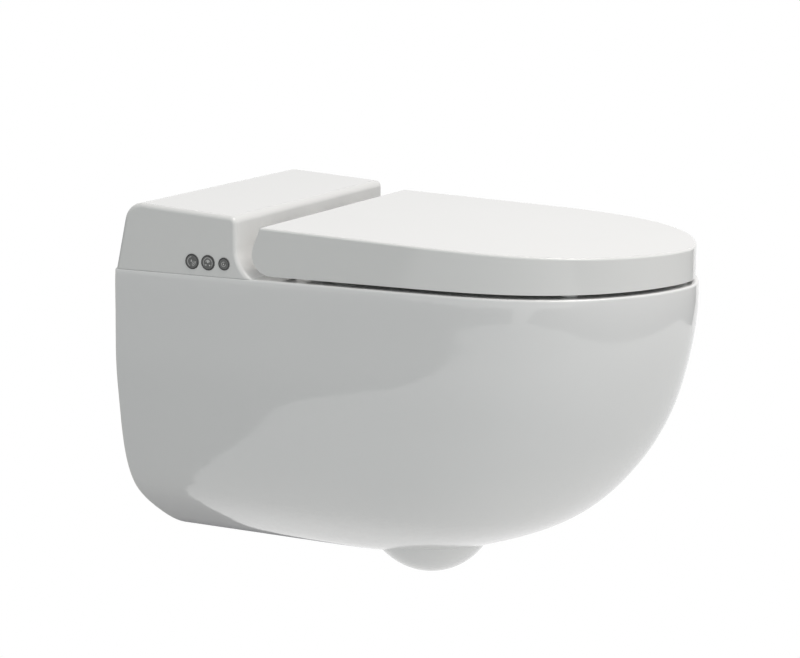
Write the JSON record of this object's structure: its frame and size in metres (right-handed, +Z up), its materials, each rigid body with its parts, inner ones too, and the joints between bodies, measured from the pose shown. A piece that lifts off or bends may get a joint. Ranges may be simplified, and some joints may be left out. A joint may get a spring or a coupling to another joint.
{
  "type": "bidet toilet",
  "caption": "Wall-hung bidet toilet: ceramic pan with hinged seat and lid, rear housing with side buttons, and a washing nozzle that slides out on a rack.",
  "frame": {"origin": "midway between the two wall fixing holes, on the wall plane", "axes": "+Y into the wall along the fixing holes, -Y out to the nose of the pan, +X across, +Z up"},
  "size_m": [0.378, 0.6396, 0.4498],
  "materials": {
    "glazed_pan": "glossy glaze",
    "white_shell": "gloss",
    "white_base": "matte",
    "soft_pad": "satin",
    "black_rubber": "matte",
    "grey_sleeve": "matte",
    "stainless": "brushed",
    "nozzle_white": "gloss",
    "gear_white": "matte",
    "black_case": "matte",
    "brass_fitting": "satin",
    "hose_rubber": "matte",
    "board_green": "matte",
    "button_grey": "satin"
  },
  "bodies": {
    "toilet": {"pan_shell": "glazed_pan", "pan_shelf": "glazed_pan", "pan_bowl": "glazed_pan", "pan_trap": "glazed_pan", "pan_flush_way": "glazed_pan", "fixing_sleeves": "grey_sleeve", "flush_inlet_seal": "black_rubber", "housing_cover": "white_shell", "housing_base": "white_base", "cover_screws": "stainless", "base_bolts": "stainless", "hinge_bracket_right": "stainless", "hinge_bracket_left": "stainless", "hinge_damper_right": "grey_sleeve", "hinge_damper_left": "grey_sleeve", "hinge_pin_right": "stainless", "hinge_pin_left": "stainless", "hinge_bolts": "stainless", "nozzle_guide": "white_base", "nozzle_motor": "stainless", "water_heater": "black_case", "water_pump": "black_case", "water_inlet_fitting": "brass_fitting", "cable_gland": "black_case", "inlet_valve": "white_base", "heater_inlet_hose": "hose_rubber", "pump_feed_hose": "hose_rubber", "power_supply": "black_case", "control_board": "board_green", "button_holder": "white_base", "switch_board": "board_green"},
    "seat": {"seat_ring": "white_shell", "seat_bumpers": "soft_pad"},
    "lid": {"lid_shell": "white_shell", "lid_bumpers": "soft_pad"},
    "nozzle": {"nozzle_wand": "nozzle_white", "nozzle_rack": "gear_white", "nozzle_tip": "nozzle_white"},
    "pinion": {"nozzle_pinion": "gear_white"},
    "button_near_wall": {"button_1": "button_grey"},
    "button_middle": {"button_2": "button_grey"},
    "button_front": {"button_3": "button_grey"}
  },
  "joints": [
    {"name": "seat_hinge", "type": "hinge", "parent": "toilet", "child": "seat", "pos_m": [0, -0.2035, 0.107], "axis": [-1, 0, 0], "range_deg": [0, 95]},
    {"name": "lid_hinge", "type": "hinge", "parent": "seat", "child": "lid", "pos_m": [0, -0.2035, 0.107], "axis": [1, 0, 0], "range_deg": [-97, 0]},
    {"name": "nozzle_slide", "type": "slide", "parent": "toilet", "child": "nozzle", "axis": [0, -0.866, -0.5], "range_m": [0, 0.1]},
    {"name": "pinion_turn", "type": "hinge", "parent": "toilet", "child": "pinion", "pos_m": [0.0192, -0.14034, 0.075], "axis": [0, -0.5, 0.866], "range_deg": [0, 716.2]},
    {"name": "button_1_press", "type": "slide", "parent": "toilet", "child": "button_near_wall", "axis": [1, 0, 0], "range_m": [0, 0.0012], "stiffness_N_per_m": 600, "springref_m": -0.0006},
    {"name": "button_2_press", "type": "slide", "parent": "toilet", "child": "button_middle", "axis": [1, 0, 0], "range_m": [0, 0.0012], "stiffness_N_per_m": 600, "springref_m": -0.0006},
    {"name": "button_3_press", "type": "slide", "parent": "toilet", "child": "button_front", "axis": [1, 0, 0], "range_m": [0, 0.0012], "stiffness_N_per_m": 600, "springref_m": -0.0006}
  ],
  "couplings": [
    {"joint": "pinion_turn", "follows": "nozzle_slide", "rad_per_m": 125}
  ]
}
